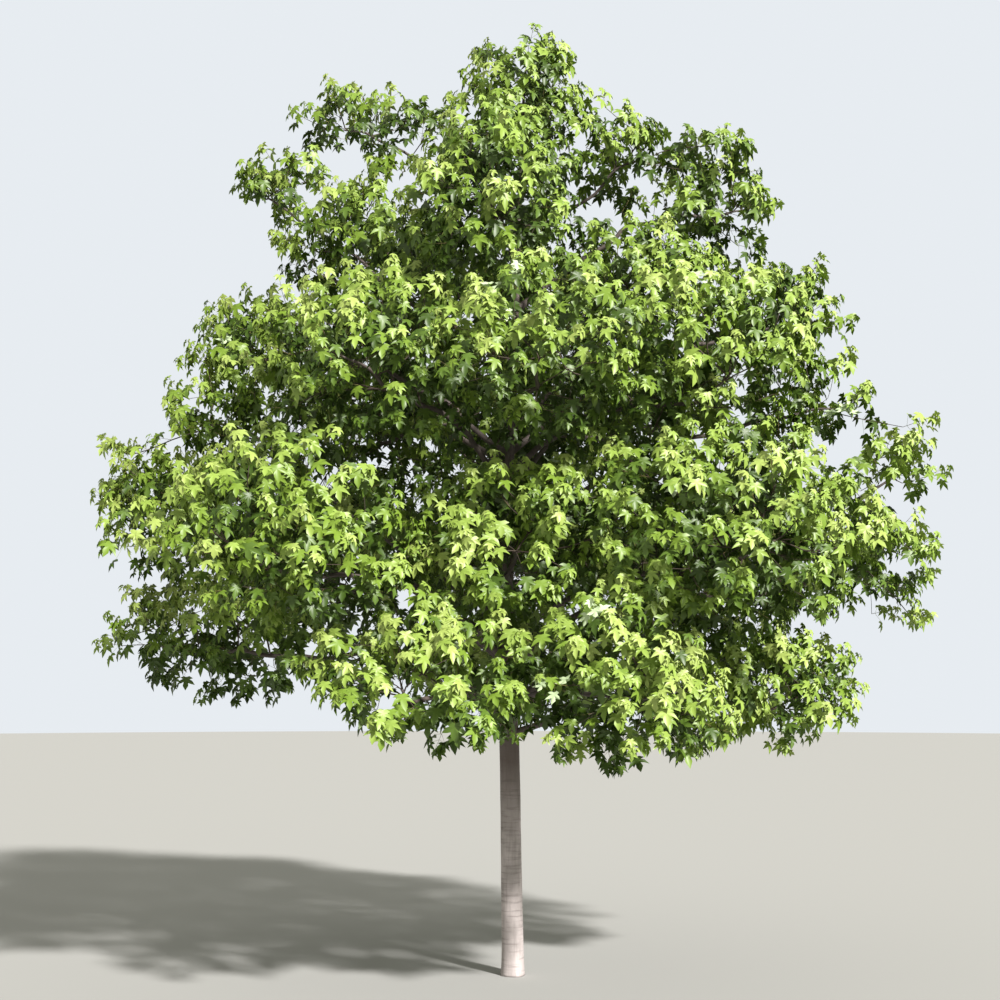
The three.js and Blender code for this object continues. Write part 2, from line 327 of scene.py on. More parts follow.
def angle_setting(name, description, degrees):
    """A setting that is an angle."""
    return FloatProperty(
        name=name, description=description, default=math.radians(degrees),
        subtype="ANGLE", unit="ROTATION",
    )


def colour_setting(name, description, default):
    """A setting that is a colour."""
    return FloatVectorProperty(
        name=name, description=description, default=default, subtype="COLOR", size=3, min=0, max=1
    )


class MapleBarkSettings(bpy.types.PropertyGroup):
    """Sizes and colours of the bark on the trunk and boughs."""

    trunk_sides: IntProperty(
        name="Trunk Sides", description="Faces round the trunk", default=48, min=12
    )
    ring_step: length_setting("Ring Step", "Height of a row of faces on the clear stem", 0.014)
    relief: length_setting("Relief", "Depth of the bark's swellings and rings", 0.0016)
    bough_sides: IntProperty(
        name="Bough Sides", description="Faces round a bough", default=14, min=6
    )
    bough_step: length_setting("Bough Step", "Length of a row of faces on a bough", 0.035)
    pale: colour_setting(
        "Pale Bark", "Colour of the smooth bark's light patches", (0.56, 0.50, 0.49)
    )
    grey: colour_setting("Grey Bark", "Main colour of the bark", (0.38, 0.34, 0.33))
    dark: colour_setting(
        "Dark Bark", "Colour of the bark's rings, scars and creases", (0.12, 0.10, 0.09)
    )
    # A painted shade: the bark up in the crown is darkened to stand for the crown's shadow.
    upper: colour_setting(
        "Painted Crown Shade", "Colour that the bark turns to up in the crown", (0.12, 0.092, 0.078)
    )
    twig: colour_setting("Twig Bark", "Colour of the branches and twigs", (0.085, 0.065, 0.05))
    shoot: colour_setting("Shoot Bark", "Colour of this year's leafy shoots", (0.16, 0.12, 0.05))


class MapleBranchSettings(bpy.types.PropertyGroup):
    """How the branches and shoots fill the crown."""

    seed: IntProperty(name="Seed", description="Seed of the branching", default=11)
    outer_gap: length_setting("Tuft Spacing", "Least distance between shoots in a tuft", 0.136)
    inner_gap: length_setting(
        "Loose Spacing", "Least distance between shoots outside the tufts", 0.205
    )
    tuft_gap: length_setting("Tuft Gap", "Distance from one tuft of shoots to the next", 0.40)
    crest_fill: FloatProperty(
        name="Crest Fill", description="How much closer the shoots stand towards the tree's top",
        default=0.13, min=0, max=0.5,
    )
    skirt_fill: FloatProperty(
        name="Skirt Fill", description="How much closer the shoots stand in the lowest masses",
        default=0.07, min=0, max=0.5,
    )
    turning: FloatProperty(
        name="Turning", description="How strongly a branch avoids turning back on its parent",
        default=0.45, min=0, max=2,
    )
    balance: FloatProperty(
        name="Balance", description="How strongly short routes to the limbs are preferred",
        default=0.32, min=0, max=1,
    )
    tip_radius: length_setting("Tip Radius", "Radius of a branch that carries one shoot", 0.0020)
    thickening: FloatProperty(
        name="Thickening", description="Power by which branch sizes add up at a fork",
        default=2.35, min=1.5, max=4,
    )


class MapleLeafSettings(bpy.types.PropertyGroup):
    """Sizes and colours of the leaves."""

    seed: IntProperty(name="Seed", description="Seed of the leaves", default=23)
    length: length_setting("Leaf Length", "Length of a full-grown blade", 0.094)
    stalk: length_setting("Stalk Length", "Length of a full-grown leaf's stalk", 0.062)
    pair_gap: length_setting("Pair Spacing", "Distance between pairs of leaves on a shoot", 0.041)
    facing: FloatProperty(
        name="Facing", description="How strongly the blades turn out of the crown to the light",
        default=0.75, min=0, max=2,
    )
    roughness: FloatProperty(
        name="Leaf Roughness", description="Roughness of the blades",
        default=0.44, subtype="FACTOR", min=0, max=1,
    )
    gloss: FloatProperty(
        name="Leaf Gloss", description="How strongly the blades mirror the light",
        default=0.48, subtype="FACTOR", min=0, max=1,
    )
    # The deep and shaded greens go to the leaves with the least painted light, the light and fresh greens
    # to those with the most, so they carry painted shade and painted light as well as the leaves' age.
    deep: colour_setting(
        "Deep Green", "Colour of the old leaves inside the crown", (0.050, 0.095, 0.010)
    )
    shaded: colour_setting(
        "Shaded Green", "Colour of the leaves under the shoots' ends", (0.095, 0.165, 0.020)
    )
    middle: colour_setting("Middle Green", "Colour of most leaves", (0.172, 0.272, 0.030))
    light: colour_setting(
        "Light Green", "Colour of the leaves towards the shoots' ends", (0.265, 0.378, 0.066)
    )
    fresh: colour_setting("Fresh Green", "Colour of the newest leaves", (0.350, 0.450, 0.108))
    pale: colour_setting(
        "Pale Green", "Colour of the few sprays that show their undersides", (0.52, 0.64, 0.38)
    )
    stem: colour_setting("Stalk Green", "Colour of the leaf stalks", (0.26, 0.30, 0.06))


class MapleStageSettings(bpy.types.PropertyGroup):
    """Camera, lights, floor and backdrop."""

    eye: FloatVectorProperty(
        name="Camera Place", description="Where the camera stands",
        default=(-0.087, -10.0, 1.874), subtype="TRANSLATION", unit="LENGTH", size=3,
    )
    pitch: angle_setting("Camera Pitch", "How far the camera looks up", 7.5)
    field: angle_setting("Field of View", "The camera's angle of view", 38.0)
    sun_from: FloatVectorProperty(
        name="Sun From", description="Direction from the tree to the key light",
        default=(0.50, -0.66, 0.56), subtype="DIRECTION", size=3,
    )
    sun_strength: FloatProperty(
        name="Sun Strength", description="Strength of the key light", default=6.6, min=0
    )
    sun_size: angle_setting("Sun Size", "Angular size of the key light", 4.0)
    sun_colour: colour_setting("Sun Colour", "Colour of the key light", (1.0, 0.97, 0.935))
    fill: FloatProperty(
        name="Fill", description="Strength of the soft light from all round",
        default=0.52, min=0,
    )
    fill_colour: colour_setting(
        "Fill Colour", "Colour of the soft light from all round", (1.0, 1.0, 0.88)
    )
    backdrop: colour_setting("Backdrop", "Colour of the backdrop", (0.80, 0.84, 0.88))
    floor: colour_setting("Floor", "Colour of the floor", (0.40, 0.40, 0.39))
    floor_radius: length_setting("Floor Radius", "Radius of the floor", 60.0)


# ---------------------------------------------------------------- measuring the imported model


def unit(vectors):
    """The same vectors at length one."""
    size = np.linalg.norm(vectors, axis=-1, keepdims=True)
    return vectors / np.maximum(size, 1e-9)


def run_along(line):
    """How far along a line each of its points lies."""
    return np.concatenate(([0], np.cumsum(np.linalg.norm(np.diff(line, axis=0), axis=1))))


def point_at(line, places, wanted):
    """The points of a line at some wanted places, where places holds that of each of its points."""
    return np.stack([np.interp(wanted, places, line[:, k]) for k in range(3)], axis=-1)


def box_corners(name):
    """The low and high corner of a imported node's box."""
    return (np.array(corner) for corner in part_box(name))


def node_arrays(name):
    """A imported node's points, and the pairs of points that its edges join."""
    mesh = NODES[name].data
    points = np.empty(len(mesh.vertices) * 3)
    mesh.vertices.foreach_get("co", points)
    edges = np.empty(len(mesh.edges) * 2, dtype=int)
    mesh.edges.foreach_get("vertices", edges)
    return points.reshape(-1, 3), edges.reshape(-1, 2)


def section(points, edges, level, value):
    """Middle and radius of the cut through a limb where its points' level crosses a value."""
    start = level[edges[:, 0]] - value
    end = level[edges[:, 1]] - value
    crossing = start * end < 0
    share = (start / np.where(crossing, start - end, 1))[crossing, None]
    first = points[edges[crossing, 0]]
    last = points[edges[crossing, 1]]
    cut = first + (last - first) * share
    low, high = cut.min(axis=0), cut.max(axis=0)
    middle = (low + high) / 2
    spread = np.sort(np.linalg.eigvalsh(np.cov((cut - middle).T)))
    return middle, math.sqrt(2 * spread[1])


def trunk_line():
    """The trunk's middle and radius at many heights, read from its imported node."""
    points, edges = node_arrays(TRUNK_NODE)
    top = points[:, 2].max()
    heights = np.concatenate(([0.003, 0.02, 0.04, 0.07, 0.11, 0.17], np.arange(0.25, top - 0.02, 0.09)))
    cuts = [section(points, edges, points[:, 2], height) for height in heights]
    middles = np.array([cut[0] for cut in cuts])
    return middles, np.array([cut[1] for cut in cuts])


def axis_at(trunk, heights):
    """The trunk's middle at some heights."""
    middles = trunk[0]
    heights = np.asarray(heights, dtype=float)
    across = [np.interp(heights, middles[:, 2], middles[:, k]) for k in (0, 1)]
    return np.stack(across + [heights], axis=-1)


def mass_heart(name):
    """Where a bough heads for inside a mass, and half the mass's size."""
    low, high = box_corners(name)
    heart = (low + high) / 2
    heart[2] -= HEART_DROP * (high[2] - low[2])
    return heart, (high - low) / 2


def curve_through(points, step):
    """A smooth line through some points, as evenly spaced points, and each one's place among them."""
    points = np.asarray(points, dtype=float)
    padded = np.vstack((2 * points[0] - points[1], points, 2 * points[-1] - points[-2]))
    line = []
    places = []
    for k in range(1, len(padded) - 2):
        p0, p1, p2, p3 = padded[k - 1 : k + 3]
        count = max(1, round(np.linalg.norm(p2 - p1) / step))
        for share in np.arange(count) / count:
            square, cube = share * share, share * share * share
            line.append(
                0.5 * (2 * p1 + (p2 - p0) * share + (2 * p0 - 5 * p1 + 4 * p2 - p3) * square
                       + (3 * p1 - p0 - 3 * p2 + p3) * cube)
            )
            places.append(k - 1 + share)
    line.append(points[-1])
    places.append(len(points) - 1.0)
    return np.array(line), np.array(places)


def swayed(line, amount):
    """A limb's line with the slow bends and small kinks of living wood, still at its root."""
    run = run_along(line)
    phase = line[-1] * 7.0
    bends = np.stack([
        np.sin(run * pitch + phase[k]) + 0.45 * np.sin(run * pitch * 2.7 + phase[(k + 1) % 3])
        for k, pitch in enumerate(SWAY_PITCHES)
    ], axis=-1)
    calm = 1 - np.exp(-((run / SWAY_CALM) ** 2))
    return line + (bends - bends[0]) * calm[:, None] * amount


def bough_line(name, trunk, step):
    """A bough from the trunk's middle out into its mass, as points and radii."""
    points, edges = node_arrays(name)
    away = np.linalg.norm((points - axis_at(trunk, points[:, 2]))[:, :2], axis=1)
    near, far = away.min(), away.max()
    reach = far - near
    values = np.linspace(near + BOUGH_CUT_FROM * reach, far - BOUGH_CUT_TO * reach, BOUGH_CUTS)
    cuts = [section(points, edges, away, value) for value in values]
    middles = np.array([cut[0] for cut in cuts])
    radii = [cut[1] for cut in cuts]
    slope = (middles[1, 2] - middles[0, 2]) / (values[1] - values[0])
    start = axis_at(trunk, middles[0, 2] - slope * values[0])
    heart, half = mass_heart(name.replace("bough_", "foliage_"))
    outward = unit((heart - axis_at(trunk, heart[2])) * (1, 1, 0))
    last = heart + outward * 0.42 * half[:2].mean() + UP * 0.12 * half[2]
    line, places = curve_through(np.vstack((start, middles, heart, last)), step)
    known = [radii[0] * 1.04] + radii + [radii[-1] * 0.72, BOUGH_TIP]
    return swayed(line, BOUGH_SWAY), np.interp(places, range(len(known)), known)


def branch_line(name, trunk, step):
    """A slighter limb from the trunk into a mass that has no bough of its own."""
    heart, half = mass_heart(name)
    axis = axis_at(trunk, heart[2])
    outward = unit((heart - axis) * (1, 1, 0))
    reach = np.linalg.norm((heart - axis)[:2])
    start = axis_at(trunk, max(heart[2] - 0.7 * reach, FIRST_FORK))
    middle = start * 0.45 + heart * 0.55 - UP * 0.03 * reach
    last = heart + outward * 0.4 * half[:2].mean() + UP * 0.15 * half[2]
    line, places = curve_through(np.vstack((start, middle, heart, last)), step)
    return swayed(line, SIDE_SWAY), np.interp(places, range(len(SIDE_RADII)), SIDE_RADII)


# ---------------------------------------------------------------- growing the crown


class Mass:
    """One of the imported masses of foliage, to be filled with shoots."""

    def __init__(self, name):
        mesh = NODES[name].data
        corners = [v.co.copy() for v in mesh.vertices]
        faces = [tuple(f.vertices) for f in mesh.polygons]
        self.name = name
        self.tree = BVHTree.FromPolygons(corners, faces)
        self.low, self.high = box_corners(name)

    def depth(self, point):
        """How deep a point lies under the mass's skin, and the way out; negative when outside."""
        spot, normal, _, distance = self.tree.find_nearest(Vector(point))
        inside = (spot - Vector(point)).dot(normal) > 0
        return (distance if inside else -distance), np.array(normal)


def clump_middles(mass, outward, rng, gap):
    """Where a mass's tufts of shoots are centred, a little under its skin."""
    size = mass.high - mass.low
    heart = (mass.low + mass.high) / 2
    found = []
    for candidate in mass.low + rng.random((int(TUFT_TRIES * np.prod(size)), 3)) * size:
        depth, _ = mass.depth(candidate)
        if not TUFT_DEPTH[0] < depth < TUFT_DEPTH[1]:
            continue
        if np.dot(unit(candidate - heart), outward) < TUFT_INWARD:
            continue
        if all(np.linalg.norm((candidate - other) * TUFT_FLATNESS) > gap for other in found):
            found.append(candidate)
    return np.array(found) if found else heart[None]


def in_opening(name, shares):
    """Whether a place in a mass, as shares of its box, lies in one of the openings."""
    return any(
        name == mass and np.all(shares > low) and np.all(shares < high)
        for mass, low, high in OPENINGS
    )


def scatter(masses, trunk, settings):
    """Shoot roots spread through the masses: place, way out of the skin, depth and place in the tuft."""
    rng = np.random.default_rng(settings.seed)
    places = np.zeros((MOST_SHOOTS, 3))
    found = 0
    ways, depths, tufts = [], [], []
    for mass in masses:
        size = mass.high - mass.low
        heart = (mass.low + mass.high) / 2
        side = heart - axis_at(trunk, heart[2])
        outward = unit(side * (1, 1, 0)) if np.linalg.norm(side[:2]) > 0.12 else np.zeros(3)
        clumps = clump_middles(mass, outward, rng, settings.tuft_gap)
        moods = rng.normal(size=len(clumps)) * TUFT_MOOD
        rise = heart[2] / CAD_HIGH[2]
        fullness = 1 - settings.crest_fill * np.clip((rise - CREST_FROM) / CREST_FADE, 0, 1)
        fullness -= settings.skirt_fill * np.clip((SKIRT_TO - rise) / SKIRT_FADE, 0, 1)
        for candidate in mass.low + rng.random((int(SHOOT_TRIES * np.prod(size)), 3)) * size:
            depth, normal = mass.depth(candidate)
            if depth < SKIN_DEPTH or (normal[2] < UNDERSIDE and depth < HANG_ROOM):
                continue
            if in_opening(mass.name, (candidate - mass.low) / size):
                continue
            offsets = (candidate - clumps) * TUFT_FLATNESS
            spans = np.linalg.norm(offsets, axis=1)
            nearest = int(np.argmin(spans))
            loose = np.clip((spans[nearest] / settings.tuft_gap - TUFT_EDGE) / TUFT_FADE, 0, 1)
            gap = settings.outer_gap + (settings.inner_gap - settings.outer_gap) * loose
            gap *= fullness
            if found and np.min(np.sum((places[:found] - candidate) ** 2, axis=1)) < gap * gap:
                continue
            places[found] = candidate
            found += 1
            ways.append(normal)
            depths.append(depth)
            tufts.append((*((candidate - clumps[nearest]) / settings.tuft_gap), moods[nearest]))
    return places[:found], np.array(ways), np.array(depths), np.array(tufts)


def add_tip_sprays(grown):
    """Adds the shoot roots that carry the crown's furthest tips."""
    places, ways, depths, tufts = grown
    extra, out = [], []
    for name, shares in TIP_SPRAYS:
        low, high = box_corners(name)
        tip = low + (high - low) * shares
        inward = unit((low + high) / 2 - tip)
        for back, aside in TIP_STEPS:
            extra.append(tip + inward * back + np.array(aside))
            out.append(-inward)
    count = len(extra)
    tuft = np.tile(TIP_TUFT, (count, 1))
    return (
        np.vstack((places, extra)),
        np.vstack((ways, out)),
        np.append(depths, np.full(count, TIP_DEPTH)),
        np.vstack((tufts, tuft)),
    )


def add_spurs(grown, limbs, seed):
    """Adds the shoot roots that stand on the limbs between the trunk and the masses."""
    rng = np.random.default_rng(seed)
    places, ways, depths, tufts = grown
    out = []
    for line, _ in limbs:
        run = run_along(line)
        for stop in np.arange(SPUR_START, run[-1], SPUR_GAP):
            spot = point_at(line, run, stop)
            way = unit(rng.normal(size=3) + 0.4 * UP)
            root = spot + way * rng.uniform(*SPUR_REACH)
            if np.min(np.linalg.norm(places - root, axis=1)) > SPUR_ROOM:
                places = np.vstack((places, root))
                out.append(way)
    count = len(out)
    return (
        places,
        np.vstack((ways, out)),
        np.append(depths, np.full(count, SPUR_DEPTH)),
        np.vstack((tufts, np.tile(SPUR_TUFT, (count, 1)))),
    )


class Skeleton:
    """Every limb, branch and shoot root of the tree, each joined to the one it grows from."""

    def __init__(self, settings):
        self.trunk = trunk_line()
        self.masses = [Mass(name) for name in MASS_NODES]
        self.limbs = []
        with_bough = {name.replace("bough_", "foliage_") for name in BOUGH_NODES}
        for name in BOUGH_NODES:
            self.limbs.append(bough_line(name, self.trunk, LIMB_STEP))
        self.bough_count = len(self.limbs)
        crest = self.crest()
        for name in MASS_NODES:
            if name not in with_bough and name != crest:
                self.limbs.append(branch_line(name, self.trunk, LIMB_STEP))
        self.leader = self.leader_line(crest)
        self.grow(settings)

    def crest(self):
        """The mass that holds the tree's top."""
        return max(MASS_NODES, key=lambda name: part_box(name)[1][2])

    def leader_line(self, crest):
        """The trunk's line carried on to just under the tree's top."""
        middles, radii = self.trunk
        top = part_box(crest)[1][2]
        last = middles[-1] + (0.03, 0.0, top - LEADER_ROOM - middles[-1][2])
        return np.vstack((middles, last)), np.append(radii, LEADER_TIP)

    def grow(self, settings):
        """Joins each shoot root to the limbs by the cheapest short route."""
        grown = add_tip_sprays(scatter(self.masses, self.trunk, settings))
        grown = add_spurs(grown, self.limbs, settings.seed + 1)
        targets, self.ways, self.depths, self.tufts = grown
        leader, leader_radii = self.leader
        heights = np.arange(FIRST_FORK, leader[-1, 2], LIMB_STEP)
        spots = [point_at(leader, leader[:, 2], heights)]
        sizes = [np.interp(heights, leader[:, 2], leader_radii)]
        aims = [unit(np.gradient(spots[0], axis=0))]
        for line, radii in self.limbs:
            away = np.linalg.norm((line - axis_at(self.trunk, line[:, 2]))[:, :2], axis=1)
            keep = away > BOUGH_BARE
            spots.append(line[keep])
            sizes.append(radii[keep])
            aims.append(unit(np.gradient(line, axis=0))[keep])
        limbs = np.vstack(spots)
        self.limb_radii = np.concatenate(sizes)
        count, total = len(limbs), len(limbs) + len(targets)
        places = np.vstack((limbs, targets))
        aims = np.vstack(aims + [np.zeros_like(targets)])

        def price(node):
            """What it costs each target to grow from a node: distance, more for a sharp turn."""
            steps = targets - places[node]
            spans = np.linalg.norm(steps, axis=1)
            turn = 1 - steps @ aims[node] / np.maximum(spans, 1e-6)
            return spans * (1 + settings.turning * turn)

        parents = np.full(total, -1)
        routes = np.zeros(total)
        best = np.full(len(targets), np.inf)
        choice = np.zeros(len(targets), dtype=int)
        for k in range(count):
            cost = price(k)
            better = cost < best
            best[better] = cost[better]
            choice[better] = k
        open_ones = np.ones(len(targets), dtype=bool)
        order = []
        for _ in range(len(targets)):
            pick = int(np.argmin(np.where(open_ones, best, np.inf)))
            open_ones[pick] = False
            node = count + pick
            parents[node] = choice[pick]
            order.append(node)
            step = np.linalg.norm(places[node] - places[parents[node]])
            routes[node] = routes[parents[node]] + step
            aims[node] = (places[node] - places[parents[node]]) / max(step, 1e-6)
            cost = price(node) + settings.balance * routes[node]
            better = open_ones & (cost < best)
            best[better] = cost[better]
            choice[better] = node
        self.first, self.places, self.parents, self.order = count, places, parents, order
        self.aims = aims
        self.thicken(settings)
        self.relax()

    def thicken(self, settings):
        """Gives each branch the size that its shoots add up to."""
        power = settings.thickening
        load = np.zeros(len(self.places))
        load[self.first :] = settings.tip_radius ** power
        self.children = [[] for _ in self.places]
        for node in reversed(self.order):
            parent = self.parents[node]
            self.children[parent].append(node)
            if parent >= self.first:
                load[parent] += load[node]
        self.radii = load ** (1 / power)
        self.radii[: self.first] = self.limb_radii

    def relax(self):
        """Eases the kinks out of the branches."""
        moved = self.places.copy()
        for _ in range(EASINGS):
            eased = moved.copy()
            for node in self.order:
                young = self.children[node]
                if young:
                    lead = max(young, key=lambda child: self.radii[child])
                    middle = (moved[self.parents[node]] + moved[lead]) / 2
                    eased[node] = moved[node] * (1 - EASING) + middle * EASING
            moved = eased
        self.places = moved

    def chains(self):
        """The branches, each as a line of points and radii from where it leaves its parent."""
        waiting = [(k, child) for k in range(self.first) for child in self.children[k]]
        while waiting:
            parent, node = waiting.pop()
            span = np.linalg.norm(self.places[node] - self.places[parent])
            elbow = self.places[parent] + self.aims[parent] * FORK_ALONG * span
            elbow = elbow + (self.places[node] - self.places[parent]) * FORK_AWAY
            line = [self.places[parent], elbow, self.places[node]]
            start = min(self.radii[node] * 1.25, self.radii[parent] * 0.85)
            sizes = [max(start, self.radii[node]), self.radii[node], self.radii[node]]
            while self.children[node]:
                young = sorted(self.children[node], key=lambda child: -self.radii[child])
                waiting += [(node, child) for child in young[1:]]
                node = young[0]
                line.append(self.places[node])
                sizes.append(self.radii[node])
            yield np.array(line), np.array(sizes)

    def heading(self, node):
        """The way a branch is going where it reaches a shoot root."""
        return unit(self.places[node] - self.places[self.parents[node]])


GROWN = {}


def skeleton():
    """The tree's skeleton, grown once."""
    if "tree" not in GROWN:
        GROWN["tree"] = Skeleton(bpy.context.scene.maple_branches)
    return GROWN["tree"]


class Shoots:
    """The leafy shoots: each one's line of points, its share of daylight and the way it faces."""

    def __init__(self, tree, settings):
        rng = np.random.default_rng(settings.seed)
        self.lines = []
        self.light = []
        self.facing = []
        crown_middle = (CAD_LOW + CAD_HIGH) / 2
        for node in range(tree.first, len(tree.places)):
            number = node - tree.first
            root = tree.places[node]
            out = tree.ways[number]
            depth = tree.depths[number]
            tuft, mood = tree.tufts[number][:3], tree.tufts[number][3]
            axis = axis_at(tree.trunk, root[2])
            radial = unit((root - axis) * (1, 1, 0))
            wander = rng.normal(size=3)
            lift = SHOOT_LIFT[0] + SHOOT_LIFT[1] * rng.random()
            heading = unit(
                FOLLOW_BRANCH * tree.heading(node) + FOLLOW_SKIN * out + FOLLOW_TRUNK * radial
                + FOLLOW_TUFT * tuft + lift * UP + FOLLOW_CHANCE * wander
            )
            length = float(np.clip(depth * SHOOT_DEEPER + SHOOT_OUTER, *SHOOT_LENGTHS))
            length *= rng.uniform(0.85, 1.15)
            bend = unit(heading + SHOOT_BEND * UP + SHOOT_SWAY * rng.normal(size=3))
            line = root + heading * length * SHOOT_SHARES
            self.lines.append(line + (bend - heading) * length * SHOOT_SHARES ** 2 * 0.5)
            # The shoot's painted light and shade, which deals out its leaves' tints: lighter near the
            # skin, facing out and up, high in its tuft and low in the tree, with its tuft's random tint.
            outness = np.clip(1 - depth / LIT_DEPTH, 0, 1) * LIT_SKIN
            outness = outness + LIT_SIDE * np.clip(np.dot(out, radial), 0, 1)
            height = (root[2] - crown_middle[2]) / (CAD_HIGH[2] - CAD_LOW[2])
            self.light.append(
                outness + LIT_ABOVE * out[2] + LIT_TUFT * tuft[2] - LIT_HEIGHT * height + mood
            )
            self.facing.append(unit((0.7 * radial + 0.5 * out + 0.5 * tuft) * (1, 1, 0)))
        self.lines = np.array(self.lines)
        self.light = np.array(self.light)


def shoots():
    """The tree's shoots, made once."""
    if "shoots" not in GROWN:
        GROWN["shoots"] = Shoots(skeleton(), bpy.context.scene.maple_leaves)
    return GROWN["shoots"]


# ---------------------------------------------------------------- mesh making


def mesh_piece(name, points, loops, starts, material):
    """A new mesh piece from flat arrays of points, face corners and face starts."""
    mesh = bpy.data.meshes.new(name)
    mesh.vertices.add(len(points))
    mesh.vertices.foreach_set("co", np.asarray(points, dtype=np.float32).ravel())
    mesh.loops.add(len(loops))
    mesh.loops.foreach_set("vertex_index", np.asarray(loops, dtype=np.int32))
    mesh.polygons.add(len(starts))
    mesh.polygons.foreach_set("loop_start", np.asarray(starts, dtype=np.int32))
    mesh.polygons.foreach_set("use_smooth", np.full(len(starts), True))
    mesh.update(calc_edges=True)
    mesh.validate()
    if not len(mesh.polygons):
        raise RuntimeError(f"{name} has no faces")
    mesh.materials.append(material)
    piece = bpy.data.objects.new(name, mesh)
    bpy.context.scene.collection.objects.link(piece)
    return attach(piece, "root")


def frames_along(line):
    """At each point of a line, two directions at right angles to it that don't twist."""
    along = unit(np.gradient(line, axis=0))
    side = np.cross(along[0], UP if abs(along[0][2]) < 0.9 else np.array((1.0, 0.0, 0.0)))
    side = unit(side)
    sides = []
    for direction in along:
        side = unit(side - direction * np.dot(side, direction))
        sides.append(side)
    sides = np.array(sides)
    return sides, np.cross(along, sides)


class Tubes:
    """Collects round limbs and joins them into one mesh."""

    def __init__(self):
        self.points = []
        self.loops = []
        self.lengths = []
        self.count = 0

    def add(self, line, radii, sides, relief=None):
        """One limb; radii holds a size for each point, and relief adds to it round each ring."""
        across, over = frames_along(line)
        turn = np.arange(sides) * FULL_TURN / sides
        sizes = np.repeat(np.asarray(radii)[:, None], sides, axis=1)
        if relief is not None:
            sizes = sizes + relief
        ring = np.cos(turn)[None, :, None] * across[:, None] + np.sin(turn)[None, :, None] * over[:, None]
        points = line[:, None] + ring * sizes[:, :, None]
        rings = len(line)
        self.points.append(points.reshape(-1, 3))
        low = np.arange(rings - 1)[:, None] * sides + np.arange(sides)[None]
        nxt = np.arange(rings - 1)[:, None] * sides + (np.arange(sides)[None] + 1) % sides
        quads = np.stack((low, nxt, nxt + sides, low + sides), axis=-1).reshape(-1) + self.count
        self.loops.append(quads)
        self.lengths.append(np.full((rings - 1) * sides, 4))
        self.loops.append(np.arange(sides) + self.count + (rings - 1) * sides)
        self.lengths.append([sides])
        self.count += rings * sides

    def floor_cap(self, sides):
        """Closes the first ring of the first limb."""
        self.loops.append(np.arange(sides)[::-1])
        self.lengths.append([sides])

    def piece(self, name, material):
        """The joined limbs as one piece, with nothing under the ground."""
        lengths = np.concatenate(self.lengths)
        starts = np.concatenate(([0], np.cumsum(lengths)[:-1]))
        points = np.vstack(self.points)
        points[:, 2] = np.maximum(points[:, 2], 0)
        return mesh_piece(name, points, np.concatenate(self.loops), starts, material)


def waves(rng, turn, rise, count, around, along):
    """Smooth relief that closes round a limb: many waves, each going round and along it."""
    total = np.zeros((len(rise), len(turn)))
    for _ in range(count):
        rounds = rng.integers(around[0], around[1] + 1)
        pitch = rng.uniform(*along)
        phase = rng.uniform(0, FULL_TURN)
        total += np.sin(rounds * turn[None] + pitch * rise[:, None] + phase)
    return total / math.sqrt(count)


def ring_marks(rng, rise, turn, gap, width):
    """Fine raised rings at uneven spacing, each fading in and out round the limb."""
    total = np.zeros((len(rise), len(turn)))
    level = rise[0]
    while level < rise[-1]:
        level += rng.uniform(0.5, 1.5) * gap
        tilt = rng.normal() * width * 0.5
        shape = np.exp(-(((rise[:, None] - level - tilt * np.sin(turn)[None]) / width) ** 2))
        fade = 0.55 + 0.45 * np.sin(turn + rng.uniform(0, FULL_TURN))
        total += shape * fade[None] * rng.uniform(0.4, 1.0)
    return total


# ---------------------------------------------------------------- materials


def new_material(name):
    """An empty node material with its output and a Principled shader."""
    material = bpy.data.materials.new(name)
    material.use_nodes = True
    nodes = material.node_tree.nodes
    nodes.clear()
    output = nodes.new("ShaderNodeOutputMaterial")
    shader = nodes.new("ShaderNodeBsdfPrincipled")
    material.node_tree.links.new(shader.outputs["BSDF"], output.inputs["Surface"])
    return material, material.node_tree, shader


